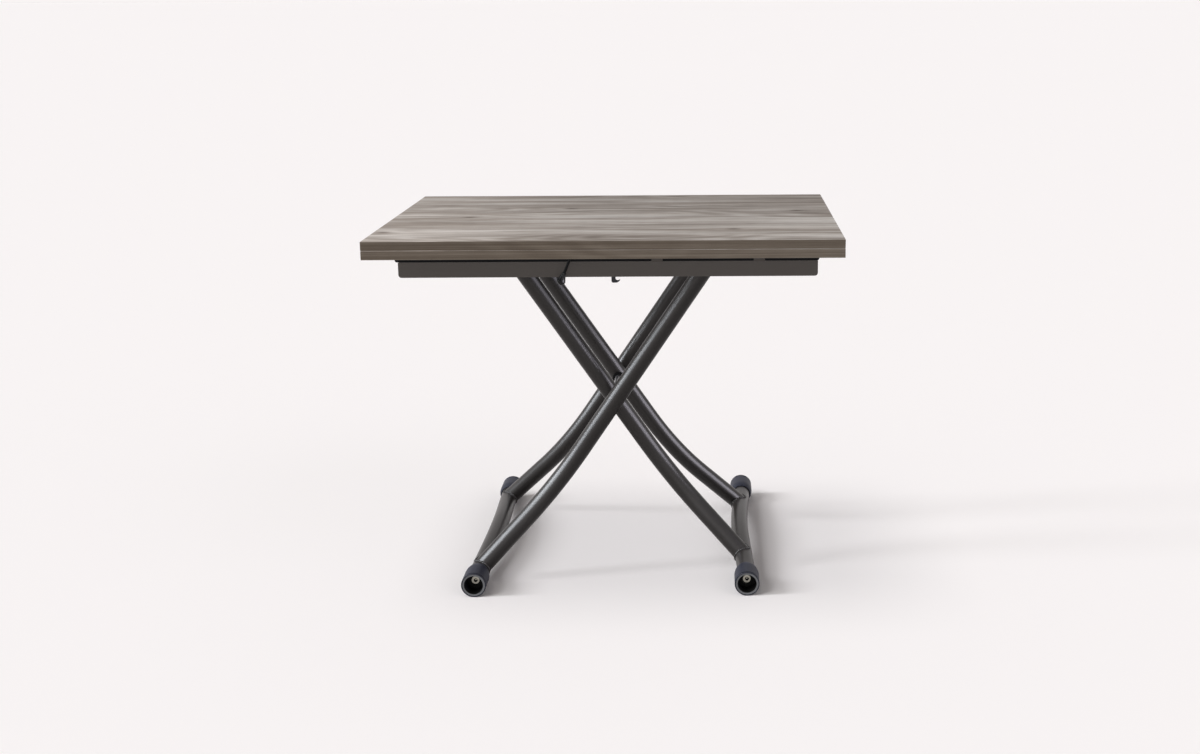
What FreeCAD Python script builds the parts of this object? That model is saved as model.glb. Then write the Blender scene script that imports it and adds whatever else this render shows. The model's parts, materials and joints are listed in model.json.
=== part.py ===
"""Height-adjustable scissor table with a folding top.

Two crossed frames of bent steel tube carry a slim rail frame. The frames close like scissors to lower
the table, their upper shafts running outwards in the rails. The double top turns a quarter on the rail
frame and then opens like a book. Origin on the floor under the middle of the top, +X along the long
side, +Y to the rear, +Z up, millimetres.
"""
import FreeCAD, Part
import math
import os

V = FreeCAD.Vector
X_AXIS = V(1, 0, 0)
Y_AXIS = V(0, 1, 0)
Z_AXIS = V(0, 0, 1)
FRONT_AND_REAR = (-1, 1)
LEFT_AND_RIGHT = (-1, 1)

# Fits and cutting
running_clearance = 0.05
rest_clearance = 0.2
side_clearance = 0.3
overrun = 5.0

# Table top: two equal leaves, one folded onto the other
top_length = 1000.0
top_depth = 700.0
top_height = 789.0
leaf_thickness = 19.0
leaf_seam = 0.5
leaf_edge_round = 0.8
seam_pad_radius = 8.0
seam_pad_inset = 60.0

# Leaf hinges along the rear edge
hinge_barrel_radius = 4.0
hinge_pin_radius = 2.0
hinge_width = 60.0
hinge_middle_width = 20.0
hinge_plate_reach = 40.0
hinge_plate_thickness = 2.5
hinge_pocket_clearance = 0.6
hinge_place_share = 0.76
hinge_screw_radius = 1.75
hinge_screw_head_radius = 3.4
hinge_screw_length = 14.0
hinge_screw_inset = 12.0

# Rail frame under the top
frame_gap = 6.5
rail_end_setback = 46.5
rail_height = 32.5
rail_depth = 34.0
rail_wall = 3.0
rail_corner_round = 7.0
end_rail_width = 20.0
end_rail_wall = 2.0

# Bearers on the rails, pads and clips
bearer_left_overhang = 8.5
bearer_right_overhang = 3.5
bearer_width = 25.0
bearer_height = 24.5
bearer_setback = 8.0
bearer_wall = 2.0
bearer_corner_round = 5.0
glide_pad_radius = 12.0
glide_pad_inset = 77.0
clip_width = 24.0
clip_height = 9.5
clip_insets = (351.0, 130.0)
clip_round = 1.5

# Cross members
member_width = 40.0
member_height = 16.0
member_wall = 2.0

# Swivel of the top
swivel_to_rail_face = 41.0
swivel_plate_width = 90.0
swivel_plate_thickness = 4.0
swivel_bolt_radius = 6.0
swivel_head_radius = 7.5
swivel_head_height = 5.0
swivel_bush_wall = 6.0
swivel_bush_depth = 14.0

# Leg tubes
tube_radius = 20.0
tube_wall = 2.0
leg_angle = 34.2
pivot_height = 386.5
leg_rail_gap = 3.5
leg_gap = 18.5
bend_start = 126.0
bend_radius = 570.0
bend_angle = 20.2
bend_tilt = 59.4
tube_top_overrun = 12.0
plug_head = 2.0
plug_depth = 10.0

# Foot bars and end caps
foot_reach = 95.3
foot_cap_length = 72.0
foot_cap_socket = 26.0
foot_cap_seat = 6.0
foot_neck_clearance = 1.0
foot_cap_web = 11.0
foot_cap_neck_wall = 2.5
foot_cap_flare = 4.5
foot_cap_shoulder = 24.0
foot_cup_wall = 6.2
foot_lip_wall = 1.5
foot_lip_depth = 1.0
foot_rim_round = 1.2
foot_groove_inset = 6.0
foot_groove_width = 3.0
foot_groove_depth = 1.5
bar_bow_in = 10.0
bar_bow_up = 12.0
bar_plug_length = 25.0
bar_plug_clearance = 0.1
axle_screw_radius = 5.0
axle_screw_length = 25.0
axle_head_radius = 8.5
axle_head_height = 5.0
axle_socket_radius = 3.8
axle_socket_depth = 4.0

# Pivot and shafts
pivot_axle_radius = 8.0
pivot_axle_entry = 14.0
pivot_bush_wall = 2.5
pivot_flange_rim = 3.5
pivot_bush_stand = 6.0
pivot_collar_width = 6.0
shaft_radius = 8.0
shaft_end_gap = 4.5
shoe_length = 44.0
shoe_side_gap = 2.0
shoe_lift_clearance = 0.25
shoe_wall = 3.5

# Gas spring
gas_cylinder_radius = 11.0
gas_cylinder_wall = 1.9
gas_cylinder_end = 4.0
gas_rod_radius = 4.0
gas_rod_showing = 65.3
gas_piston_length = 8.0
gas_piston_gap = 2.0
release_head_length = 24.0
release_head_width = 26.0
release_pin_radius = 3.0
release_pin_depth = 14.0
release_pin_showing = 9.4
clevis_wall = 6.0
clevis_width = 20.0
clevis_neck_radius = 7.0
clevis_neck_length = 24.0

# Release lever
lever_x = -81.4
lever_rise = 8.0
lever_shaft_radius = 4.0
lever_arm_radius = 3.0
lever_tilt = 22.4
lever_knob_centre = 45.0
knob_radius = 9.7
knob_gap = 3.5
knob_half_length = 14.3
knob_neck_radius = 4.5
finger_collar_radius = 7.0
finger_collar_width = 12.0
finger_gap = 1.0
lever_bracket_width = 10.0
lever_bracket_height = 22.0
lever_bracket_place = 55.0
lever_bracket_margin = 10.6

# Hook under the front rail
hook_left = 6.4
hook_width = 8.8
hook_depth = 14.2
hook_thickness = 5.0
hook_heel_round = 4.0
hook_notch_radius = 4.5
hook_notch_drop = 4.9
hook_curl = 48.0
hook_tip_width = 2.2
hook_inset = 9.0

# Levels and places that follow from the sizes above
seam_height = top_height - leaf_thickness - leaf_seam / 2
lower_leaf_top = seam_height - leaf_seam / 2
lower_leaf_bottom = lower_leaf_top - leaf_thickness
upper_leaf_bottom = seam_height + leaf_seam / 2
leaf_front = -top_depth / 2
leaf_rear = top_depth / 2 - hinge_barrel_radius
swivel_place = leaf_rear / 2

bearer_top_height = lower_leaf_bottom - frame_gap
rail_top_height = bearer_top_height - bearer_height
rail_bottom_height = rail_top_height - rail_height
rail_length = top_length - 2 * rail_end_setback
rail_front_face = swivel_place + swivel_to_rail_face
rail_inner_edge = rail_front_face - rail_depth
bearer_outer_face = rail_front_face - bearer_setback
bearer_inner_face = bearer_outer_face - bearer_width
member_bottom_height = bearer_top_height - member_height
shaft_height = rail_bottom_height + rail_height / 2
shaft_end = rail_front_face - rail_wall - shaft_end_gap
shoe_inner = rail_inner_edge + shoe_side_gap
shoe_outer = rail_front_face - rail_wall - rest_clearance

outer_plane = rail_inner_edge - leg_rail_gap - tube_radius
inner_plane = outer_plane - 2 * tube_radius - leg_gap
angle = math.radians(leg_angle)
upper_arm = (shaft_height - pivot_height) / math.cos(angle)
shaft_x = upper_arm * math.sin(angle)
pivot_bush_radius = pivot_axle_radius + pivot_bush_wall
pivot_flange_radius = pivot_bush_radius + pivot_flange_rim
clevis_radius = shaft_radius + clevis_wall
swivel_bush_radius = swivel_bolt_radius + swivel_bush_wall

lever_z = rail_top_height + lever_rise
lever_y = -rail_front_face - knob_radius - knob_gap
pin_tip = lever_x + lever_arm_radius + finger_gap
head_left = pin_tip + release_pin_showing
head_right = head_left + release_head_length
cylinder_right = shaft_x - clevis_neck_length - gas_rod_showing
centre_member_place = head_left + gas_piston_gap + member_width / 2

# Directions of the front leg whose foot is on the left: down its upper length, into its bend, down its tail
bend_turn = math.radians(bend_angle)
leg_down = V(-math.sin(angle), 0, -math.cos(angle))
leg_level = V(-math.cos(angle), 0, math.sin(angle))
bend_inward = leg_level * math.cos(math.radians(bend_tilt)) - Y_AXIS * math.sin(math.radians(bend_tilt))
leg_tail = leg_down * math.cos(bend_turn) + bend_inward * math.sin(bend_turn)


def on_bend(plane, at):
    """Point of that leg, upright in the plane y = -plane, after its bend has turned by an angle."""
    bend_top = V(0, -plane, pivot_height) + leg_down * bend_start
    return bend_top + (leg_down * math.sin(at) + bend_inward * (1 - math.cos(at))) * bend_radius


def tail_point(plane, height):
    """Point at a height on the straight length below the bend."""
    bend_end = on_bend(plane, bend_turn)
    return bend_end + leg_tail * ((height - bend_end.z) / leg_tail.z)


# Foot bars and caps follow from where the outer legs come down
foot_neck_radius = tube_radius + foot_cap_neck_wall
foot_cap_radius = foot_neck_radius + foot_cap_flare
foot_cup_radius = foot_cap_radius - foot_cup_wall
foot_lip_radius = foot_cap_radius - foot_lip_wall
foot_half_length = foot_reach - tail_point(outer_plane, foot_cap_radius).y
foot_cap_inner = foot_half_length - foot_cap_length
foot_cup_floor = foot_cap_inner + foot_cap_socket + foot_cap_web
bar_half_length = foot_cap_inner + foot_cap_socket - side_clearance


def box(x0, x1, y0, y1, z0, z1):
    return Part.makeBox(x1 - x0, y1 - y0, z1 - z0, V(x0, y0, z0))


def rod(radius, start, end):
    return Part.makeCylinder(radius, (end - start).Length, start, end - start)


def rod_x(radius, x0, x1, y, z):
    return rod(radius, V(x0, y, z), V(x1, y, z))


def rod_y(radius, x, y0, y1, z):
    return rod(radius, V(x, y0, z), V(x, y1, z))


def rod_z(radius, x, y, z0, z1):
    return rod(radius, V(x, y, z0), V(x, y, z1))


def mirrored_x(shape):
    return shape.mirror(V(0, 0, 0), X_AXIS)


def mirrored_y(shape):
    return shape.mirror(V(0, 0, 0), Y_AXIS)


def sweep(path, radius):
    """A round bar of one radius along a smooth wire."""
    first = path.OrderedEdges[0]
    start = first.valueAt(first.FirstParameter)
    ring = Part.Wire(Part.makeCircle(radius, start, first.tangentAt(first.FirstParameter)))
    return path.makePipeShell([ring], True, False)


def round_edges_along(shape, direction, radius, chosen):
    """Round the straight edges along one direction whose middle point is chosen."""
    edges = []
    for edge in shape.Edges:
        along = edge.tangentAt(edge.FirstParameter).cross(direction).Length < 1e-6
        if along and chosen(edge.CenterOfMass):
            edges.append(edge)
    return shape.makeFillet(radius, edges)


def save(node, *solids):
    shape = solids[0] if len(solids) == 1 else Part.makeCompound(solids)
    shape.exportStep("parts/" + node + ".step")


def bar_bow(y):
    """Share of the foot bar's bow at y: one at mid-span, zero and level at the bar's ends."""
    return (1 - (y / bar_half_length) ** 2) ** 2


def leg_path(plane):
    """Centre line of the front leg whose foot is on the left, upright in the plane y = -plane.

    The upper length is straight. Below the pivot the tube bends on one arc, in a plane tilted towards
    the front, and runs straight on to the axis of its foot bar.
    """
    top = V(0, -plane, pivot_height) - leg_down * (upper_arm + tube_top_overrun)
    bend_top = on_bend(plane, 0)
    bend_end = on_bend(plane, bend_turn)
    foot_height = foot_cap_radius
    for step in range(8):
        foot = tail_point(plane, foot_height)
        foot_height = foot_cap_radius + bar_bow_up * bar_bow(foot.y)
    wire = Part.Wire([Part.makeLine(top, bend_top),
                      Part.Arc(bend_top, on_bend(plane, bend_turn / 2), bend_end).toShape(),
                      Part.makeLine(bend_end, foot)])
    return wire, top, foot


def foot_axis_x(foot):
    """X of a left foot bar's ends, so that the bowed bar passes through the leg's foot."""
    return foot.x - bar_bow_in * bar_bow(foot.y)


def bar_solid(end_x, radius):
    """A left foot bar, bowed inwards and upwards between straight ends."""
    points = []
    for share in (-1, -0.5, 0, 0.5, 1):
        y = share * bar_half_length
        points.append(V(end_x + bar_bow_in * bar_bow(y), y, foot_cap_radius + bar_bow_up * bar_bow(y)))
    curve = Part.BSplineCurve()
    curve.interpolate(Points=points, InitialTangent=Y_AXIS, FinalTangent=Y_AXIS)
    return sweep(Part.Wire(curve.toShape()), radius)


def leg_frame(plane, bar_node, leg_nodes, plug_node, shaft_node, bar_plug_node, screw_node, place):
    """One pair of legs with its foot bar, top shaft, plugs and axle screws.

    place puts the left-hand frame on its own side. Returns the x of the foot axis.
    """
    path, top, foot = leg_path(plane)
    end_x = foot_axis_x(foot)
    bar_body = bar_solid(end_x, tube_radius)
    bore = tube_radius - tube_wall
    shaft = rod_y(shaft_radius, shaft_x, -shaft_end, shaft_end, shaft_height)
    leg = sweep(path, tube_radius).cut(sweep(path, bore)).cut(shaft).cut(pivot_cut(plane))
    save(leg_nodes[0], place(leg.cut(bar_body)))
    save(leg_nodes[1], place(mirrored_y(leg).cut(bar_body)))
    save(shaft_node, place(shaft))

    plug = rod(tube_radius, top - leg_down * plug_head, top)
    plug = plug.fuse(rod(bore, top, top + leg_down * plug_depth)).cut(shaft)
    save(plug_node, place(plug), place(mirrored_y(plug)))

    bar = bar_body.cut(bar_solid(end_x, bore))
    save(bar_node, place(bar))
    plug_inner = bar_half_length - bar_plug_length
    screw_end = foot_cup_floor - axle_screw_length
    bar_plug = bar_solid(end_x, bore - bar_plug_clearance)
    bar_plug = bar_plug.common(box(end_x - tube_radius, end_x + tube_radius, -bar_half_length, -plug_inner,
                                   0, foot_cap_radius + tube_radius))
    screw = rod_y(axle_screw_radius, end_x, -foot_cup_floor, -screw_end, foot_cap_radius)
    bar_plug = bar_plug.cut(screw)
    save(bar_plug_node, place(bar_plug), place(mirrored_y(bar_plug)))
    head_y = -foot_cup_floor - side_clearance
    head = rod_y(axle_head_radius, end_x, head_y - axle_head_height, head_y, foot_cap_radius)
    screw = screw.fuse(rod_y(axle_screw_radius, end_x, head_y, -foot_cup_floor, foot_cap_radius)).fuse(head)
    screw = screw.removeSplitter()
    head_end = head_y - axle_head_height
    screw = screw.cut(rod_y(axle_socket_radius, end_x, head_end - overrun, head_end + axle_socket_depth,
                            foot_cap_radius))
    save(screw_node, place(screw), place(mirrored_y(screw)))
    return end_x


def pivot_cut(plane):
    """The hole for the pivot: blind from the inner side in the outer legs, through in the inner ones."""
    if plane == outer_plane:
        inner_side = outer_plane - tube_radius
        blind_end = inner_side + pivot_axle_entry
        return rod_y(pivot_axle_radius, 0, -blind_end, -inner_side + overrun, pivot_height)
    reach = tube_radius + overrun
    return rod_y(pivot_bush_radius, 0, -inner_plane - reach, -inner_plane + reach, pivot_height)


def pivot_pieces():
    axle_end = outer_plane - tube_radius + pivot_axle_entry
    axle = rod_y(pivot_axle_radius, 0, -axle_end, axle_end, pivot_height)
    save("pivot_axle", axle)

    hole = rod_y(pivot_axle_radius + running_clearance, 0, -axle_end, axle_end, pivot_height)
    bush_inner = inner_plane - tube_radius - pivot_bush_stand
    flange_inner = inner_plane + tube_radius + side_clearance
    flange_outer = outer_plane - tube_radius - side_clearance
    bush = rod_y(pivot_bush_radius, 0, -flange_inner, -bush_inner, pivot_height)
    bush = bush.fuse(rod_y(pivot_flange_radius, 0, -flange_outer, -flange_inner, pivot_height)).cut(hole)
    save("pivot_bushes", bush, mirrored_y(bush))

    collar_outer = bush_inner - side_clearance
    collar = rod_y(pivot_flange_radius, 0, -collar_outer, pivot_collar_width - collar_outer, pivot_height)
    collar = collar.cut(axle)
    save("pivot_collars", collar, mirrored_y(collar))


def cap_body(end_x):
    """Outside of a front end cap: a turned outline with a flared shoulder, a groove and a rounded rim."""

    def at(radius, y):
        return V(end_x, -y, foot_cap_radius + radius)

    shoulder_end = foot_cap_inner + foot_cap_shoulder
    flare_radius = (foot_cap_flare ** 2 + foot_cap_shoulder ** 2) / (2 * foot_cap_flare)
    half_flare = math.asin(foot_cap_shoulder / flare_radius) / 2
    neck = at(foot_neck_radius, foot_cap_inner)
    flare_middle = at(foot_cap_radius - flare_radius * (1 - math.cos(half_flare)),
                      shoulder_end - flare_radius * math.sin(half_flare))
    shoulder = at(foot_cap_radius, shoulder_end)
    rim_start = at(foot_cap_radius, foot_half_length - foot_rim_round)
    rim_fall = foot_rim_round * (1 - math.sin(math.pi / 4))
    rim_middle = at(foot_cap_radius - rim_fall, foot_half_length - rim_fall)
    rim_end = at(foot_cap_radius - foot_rim_round, foot_half_length)
    corners = (rim_end, at(0, foot_half_length), at(0, foot_cap_inner), neck)
    edges = [Part.Arc(neck, flare_middle, shoulder).toShape(), Part.makeLine(shoulder, rim_start),
             Part.Arc(rim_start, rim_middle, rim_end).toShape()]
    edges += [Part.makeLine(start, end) for start, end in zip(corners, corners[1:])]
    body = Part.Face(Part.Wire(edges)).revolve(V(end_x, 0, foot_cap_radius), Y_AXIS, 360)
    groove_start = foot_half_length - foot_groove_inset
    groove_end = groove_start + foot_groove_width
    ring = rod_y(foot_cap_radius + overrun, end_x, -groove_end, -groove_start, foot_cap_radius)
    core = rod_y(foot_cap_radius - foot_groove_depth, end_x, -groove_end, -groove_start, foot_cap_radius)
    return body.cut(ring.cut(core))


def foot_cap(end_x):
    """Front end cap on a foot bar: a neck clear of the bowed bar, a seat for its end, a web and a cup."""
    cap = cap_body(end_x)
    socket_end = foot_cap_inner + foot_cap_socket
    seat_start = socket_end - foot_cap_seat
    cap = cap.cut(rod_y(tube_radius + foot_neck_clearance, end_x, -seat_start, -foot_cap_inner + overrun,
                        foot_cap_radius))
    cap = cap.cut(rod_y(tube_radius + running_clearance, end_x, -socket_end, -seat_start, foot_cap_radius))
    cap = cap.cut(rod_y(axle_screw_radius + running_clearance, end_x, -foot_half_length, -foot_cap_inner,
                        foot_cap_radius))
    outside = foot_half_length + overrun
    cap = cap.cut(rod_y(foot_cup_radius, end_x, -outside, -foot_cup_floor, foot_cap_radius))
    lip_floor = foot_half_length - foot_lip_depth
    return cap.cut(rod_y(foot_lip_radius, end_x, -outside, -lip_floor, foot_cap_radius))


def legs_and_feet():
    left_x = leg_frame(outer_plane, "left_foot_bar", ("outer_leg_front", "outer_leg_rear"), "outer_leg_plugs",
                       "outer_top_shaft", "left_bar_plugs", "left_axle_screws", lambda shape: shape)
    right_x = leg_frame(inner_plane, "right_foot_bar", ("inner_leg_front", "inner_leg_rear"),
                        "inner_leg_plugs", "inner_top_shaft", "right_bar_plugs", "right_axle_screws",
                        mirrored_x)
    left_cap = foot_cap(left_x)
    save("left_foot_cap_front", left_cap)
    save("left_foot_cap_rear", mirrored_y(left_cap))
    right_cap = mirrored_x(foot_cap(right_x))
    save("right_foot_cap_front", right_cap)
    save("right_foot_cap_rear", mirrored_y(right_cap))
    print("foot axes at x", left_x, -right_x, "top shafts at x", shaft_x, "z", shaft_height)


def slide_shoes(node, x):
    """Nylon blocks that run in the rails and carry the ends of one top shaft."""
    half = shoe_length / 2
    shoe = box(x - half, x + half, -shoe_outer, -shoe_inner,
               rail_bottom_height + rail_wall + shoe_lift_clearance,
               rail_top_height - rail_wall - shoe_lift_clearance)
    bore = shaft_radius + running_clearance
    bore_end = shaft_end + side_clearance
    shoe = shoe.cut(rod_y(bore, x, -bore_end, -shoe_inner + overrun, shaft_height))
    save(node, shoe, mirrored_y(shoe))


def hollow_box(x0, x1, y0, y1, z0, z1, wall, ends_along_y):
    """A rectangular tube: open along Y, or closed at both ends along X."""
    end = -overrun if ends_along_y else wall
    inside = box(x0 + wall, x1 - wall, y0 + end, y1 - end, z0 + wall, z1 - wall)
    return box(x0, x1, y0, y1, z0, z1).cut(inside)


def rails():
    half = rail_length / 2
    rail = box(-half, half, -rail_front_face, -rail_inner_edge, rail_bottom_height, rail_top_height)
    rail = round_edges_along(rail, Y_AXIS, rail_corner_round, lambda p: p.z < shaft_height)
    rail = rail.cut(box(-half + rail_wall, half - rail_wall, -rail_front_face + rail_wall,
                        -rail_inner_edge + overrun, rail_bottom_height + rail_wall,
                        rail_top_height - rail_wall))
    save("front_rail", rail)
    save("rear_rail", mirrored_y(rail))

    outer = half - rail_wall
    end_rail = hollow_box(outer - end_rail_width, outer, -rail_inner_edge, rail_inner_edge,
                          rail_bottom_height, rail_top_height, end_rail_wall, True)
    save("right_end_rail", end_rail)
    save("left_end_rail", mirrored_x(end_rail))


def bearers():
    left = -rail_length / 2 - bearer_left_overhang
    right = rail_length / 2 + bearer_right_overhang
    bearer = box(left, right, -bearer_outer_face, -bearer_inner_face, rail_top_height, bearer_top_height)
    middle = rail_top_height + bearer_height / 2
    bearer = round_edges_along(bearer, Y_AXIS, bearer_corner_round, lambda p: p.z < middle)
    hollow_inset = bearer_wall + bearer_corner_round
    bearer = bearer.cut(box(left + hollow_inset, right - hollow_inset, -bearer_outer_face + bearer_wall,
                            -bearer_inner_face - bearer_wall, rail_top_height + bearer_wall,
                            bearer_top_height - bearer_wall))
    save("rear_bearer", mirrored_y(bearer))
    shaft_hole = rod_y(lever_shaft_radius + running_clearance, lever_x, -bearer_outer_face - overrun,
                       -bearer_inner_face + overrun, lever_z)
    save("front_bearer", bearer.cut(shaft_hole))

    clips = []
    for inset in clip_insets:
        place = right - inset
        clip = box(place - clip_width / 2, place + clip_width / 2, -rail_front_face, -bearer_outer_face,
                   rail_top_height, rail_top_height + clip_height)
        clips.append(round_edges_along(clip, Y_AXIS, clip_round, lambda p: p.z > rail_top_height))
    save("bearer_clips", *clips)

    pads = []
    pad_x = right - glide_pad_inset
    pad_y = bearer_outer_face - bearer_width / 2
    for x_side in LEFT_AND_RIGHT:
        for y_side in FRONT_AND_REAR:
            pads.append(rod_z(glide_pad_radius, x_side * pad_x, y_side * pad_y,
                              bearer_top_height, lower_leaf_bottom - rest_clearance))
    save("glide_pads", *pads)


def cross_member(x):
    half = member_width / 2
    return hollow_box(x - half, x + half, -bearer_inner_face, bearer_inner_face, member_bottom_height,
                      bearer_top_height, member_wall, True)


def swivel():
    """Cross members with the plate and bolt that the top turns on."""
    bolt_top = lower_leaf_bottom + swivel_bush_depth - rest_clearance
    shank = rod_z(swivel_bolt_radius, swivel_place, swivel_place, member_bottom_height, bolt_top)
    head = rod_z(swivel_head_radius, swivel_place, swivel_place, member_bottom_height - swivel_head_height,
                 member_bottom_height)
    bolt = shank.fuse(head)
    save("swivel_bolt", bolt)
    save("right_cross_member", cross_member(swivel_place).cut(shank))
    save("left_cross_member", cross_member(-swivel_place))
    save("centre_cross_member", cross_member(centre_member_place))

    half = swivel_plate_width / 2
    plate = box(swivel_place - half, swivel_place + half, bearer_outer_face - swivel_plate_width,
                bearer_outer_face, bearer_top_height, bearer_top_height + swivel_plate_thickness)
    corner = member_width / 4
    plate = round_edges_along(plate, Z_AXIS, corner, lambda p: True)
    save("swivel_plate", plate.cut(shank))

    bush = rod_z(swivel_bush_radius, swivel_place, swivel_place, lower_leaf_bottom,
                 lower_leaf_bottom + swivel_bush_depth)
    save("swivel_bush", bush.cut(rod_z(swivel_bolt_radius + running_clearance, swivel_place, swivel_place,
                                       lower_leaf_bottom - overrun, lower_leaf_top)))


def gas_spring():
    """Gas spring between the rail frame and the outer top shaft, with its release head."""
    half = release_head_width / 2
    cylinder = rod_x(gas_cylinder_radius, head_right, cylinder_right, 0, shaft_height)
    cavity = rod_x(gas_cylinder_radius - gas_cylinder_wall, head_right + gas_cylinder_end,
                   cylinder_right - gas_cylinder_end, 0, shaft_height)
    bore = rod_x(gas_rod_radius + running_clearance, head_right + gas_cylinder_end, cylinder_right + overrun,
                 0, shaft_height)
    save("gas_cylinder", cylinder.cut(cavity).cut(bore))

    head = box(head_left, head_right, -half, half, shaft_height - half, shaft_height + half)
    pin_bore = rod_x(release_pin_radius + running_clearance, head_left - overrun,
                     head_left + release_pin_depth, 0, shaft_height)
    save("release_head", head.cut(pin_bore))
    bracket_left = centre_member_place - member_width / 2
    save("head_bracket", box(bracket_left, head_right, -half, half, shaft_height + half,
                             member_bottom_height))

    save("release_pin", rod_x(release_pin_radius, pin_tip, pin_tip + release_pin_depth, 0, shaft_height))

    neck_left = shaft_x - clevis_neck_length
    rod_end = shaft_x - clevis_radius
    piston_left = head_right + gas_cylinder_end + gas_piston_gap
    piston_radius = gas_cylinder_radius - gas_cylinder_wall - side_clearance
    piston = rod_x(piston_radius, piston_left, piston_left + gas_piston_length, 0, shaft_height)
    gas_rod = rod_x(gas_rod_radius, piston_left, rod_end, 0, shaft_height)
    save("gas_rod", gas_rod.fuse(piston))

    clevis = rod_y(clevis_radius, shaft_x, -clevis_width / 2, clevis_width / 2, shaft_height)
    clevis = clevis.fuse(rod_x(clevis_neck_radius, neck_left, shaft_x, 0, shaft_height))
    clevis = clevis.cut(rod_y(shaft_radius + running_clearance, shaft_x, -clevis_width, clevis_width,
                              shaft_height))
    save("rod_clevis", clevis.cut(gas_rod))


def knob(top, direction):
    """A pear-shaped grip: a revolved outline, narrow at the neck and full near the tip."""
    long = 2 * knob_half_length
    outline_shares = ((0.0, 0.0), (0.0, 1.0), (0.3, 1.35), (0.66, knob_radius / knob_neck_radius))
    neck = [V(share_r * knob_neck_radius, 0, -share_z * long) for share_z, share_r in outline_shares]
    tip = V(0, 0, -long)
    side = Part.BSplineCurve()
    side.interpolate(Points=neck[1:], FinalTangent=V(0, 0, -1))
    widest = neck[-1]
    depth = long + widest.z
    bow = V(knob_radius * math.cos(math.pi / 4), 0, widest.z - depth * math.sin(math.pi / 4))
    end = Part.BSplineCurve()
    end.interpolate(Points=[widest, bow, tip], InitialTangent=V(0, 0, -1), FinalTangent=V(-1, 0, 0))
    outline = Part.Wire([Part.makeLine(neck[0], neck[1]), side.toShape(), end.toShape(),
                         Part.makeLine(tip, neck[0])])
    body = Part.Face(outline).revolve(V(0, 0, 0), Z_AXIS, 360)
    body.Placement = FreeCAD.Placement(top, FreeCAD.Rotation(V(0, 0, -1), direction))
    return body


def release_lever():
    """Hand lever in front of the rail, its shaft through the bearer and the finger at the release pin."""
    tilt = math.radians(lever_tilt)
    down = V(-math.sin(tilt), 0, -math.cos(tilt))
    elbow = V(lever_x, lever_y, lever_z)
    knob_top = elbow + down * (lever_knob_centre - knob_half_length)
    arm_end = elbow + down * lever_knob_centre
    shaft = rod_y(lever_shaft_radius, lever_x, lever_y, finger_collar_width / 2, lever_z)
    arm = rod(lever_arm_radius, elbow, arm_end)
    save("release_lever", shaft.fuse(arm).fuse(Part.makeSphere(lever_shaft_radius, elbow)))
    save("lever_knob", knob(knob_top, down).cut(arm))

    half = finger_collar_width / 2
    collar = rod_y(finger_collar_radius, lever_x, -half, half, lever_z)
    finger = rod_z(lever_arm_radius, lever_x, 0, shaft_height - lever_arm_radius, lever_z)
    save("release_finger", collar.fuse(finger).cut(shaft))

    right = centre_member_place - member_width / 2
    front = -lever_bracket_place - lever_bracket_width
    rise = lever_bracket_height / 2
    bracket = box(lever_x - lever_bracket_margin, right, front, -lever_bracket_place, lever_z - rise,
                  lever_z + rise)
    hole = rod_y(lever_shaft_radius + running_clearance, lever_x, front, -lever_bracket_place, lever_z)
    save("lever_bracket", bracket.cut(hole))


def catch_hook():
    """Flat hook under the front rail: a broad stem with a rounded heel and a toe curled up on one side."""
    y = -rail_front_face + hook_inset - hook_thickness / 2
    bottom = rail_bottom_height - hook_depth
    right = hook_left + hook_width
    notch = V(right + hook_notch_radius, y, rail_bottom_height - hook_notch_drop)
    curl = math.radians(hook_curl)
    outward = V(math.sin(curl), 0, -math.cos(curl))
    onward = V(math.cos(curl), 0, math.sin(curl))
    tip_inner = notch + outward * hook_notch_radius
    tip_outer = tip_inner + outward * hook_tip_width
    tip_end = tip_inner + (outward + onward) * (hook_tip_width / 2)
    sole_end = V(right, y, bottom)
    rise = tip_outer.z - bottom
    sole_radius = ((tip_outer.x - right) ** 2 + rise ** 2) / (2 * rise)
    half_sole = math.asin((tip_outer.x - right) / sole_radius) / 2
    sole_middle = sole_end + V(math.sin(half_sole), 0, 1 - math.cos(half_sole)) * sole_radius
    heel_low = V(hook_left + hook_heel_round, y, bottom)
    heel_side = V(hook_left, y, bottom + hook_heel_round)
    heel_fall = hook_heel_round * (1 - math.sin(math.pi / 4))
    heel_middle = V(hook_left + heel_fall, y, bottom + heel_fall)
    stem_left = V(hook_left, y, rail_bottom_height)
    stem_right = V(right, y, rail_bottom_height)
    stem_foot = V(right, y, notch.z)
    edges = [Part.makeLine(stem_left, stem_right), Part.makeLine(stem_right, stem_foot),
             Part.Arc(stem_foot, notch - Z_AXIS * hook_notch_radius, tip_inner).toShape(),
             Part.Arc(tip_inner, tip_end, tip_outer).toShape(),
             Part.Arc(tip_outer, sole_middle, sole_end).toShape(), Part.makeLine(sole_end, heel_low),
             Part.Arc(heel_low, heel_middle, heel_side).toShape(), Part.makeLine(heel_side, stem_left)]
    save("catch_hook", Part.Face(Part.Wire(edges)).extrude(Y_AXIS * hook_thickness))


def hinge_places():
    reach = hinge_place_share * top_length / 2
    return (-reach, 0, reach)


def hinge_screw_spots(x):
    """The four screw places in one hinge plate."""
    across = hinge_width / 2 - hinge_screw_inset
    near = leaf_rear - hinge_barrel_radius - hinge_screw_inset
    far = leaf_rear - hinge_plate_reach + hinge_screw_inset / 2
    return [(x + side * across, y) for side in LEFT_AND_RIGHT for y in (near, far)]


def hinge_screw(x, y, face, into):
    """A countersunk screw whose head is level with the plate's face, running into the leaf."""
    head_depth = hinge_plate_thickness / 2
    down = Z_AXIS * into
    start = V(x, y, face)
    head = Part.makeCone(hinge_screw_head_radius, hinge_screw_radius, head_depth, start, down)
    return head.fuse(rod(hinge_screw_radius, start + down * head_depth, start + down * hinge_screw_length))


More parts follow.
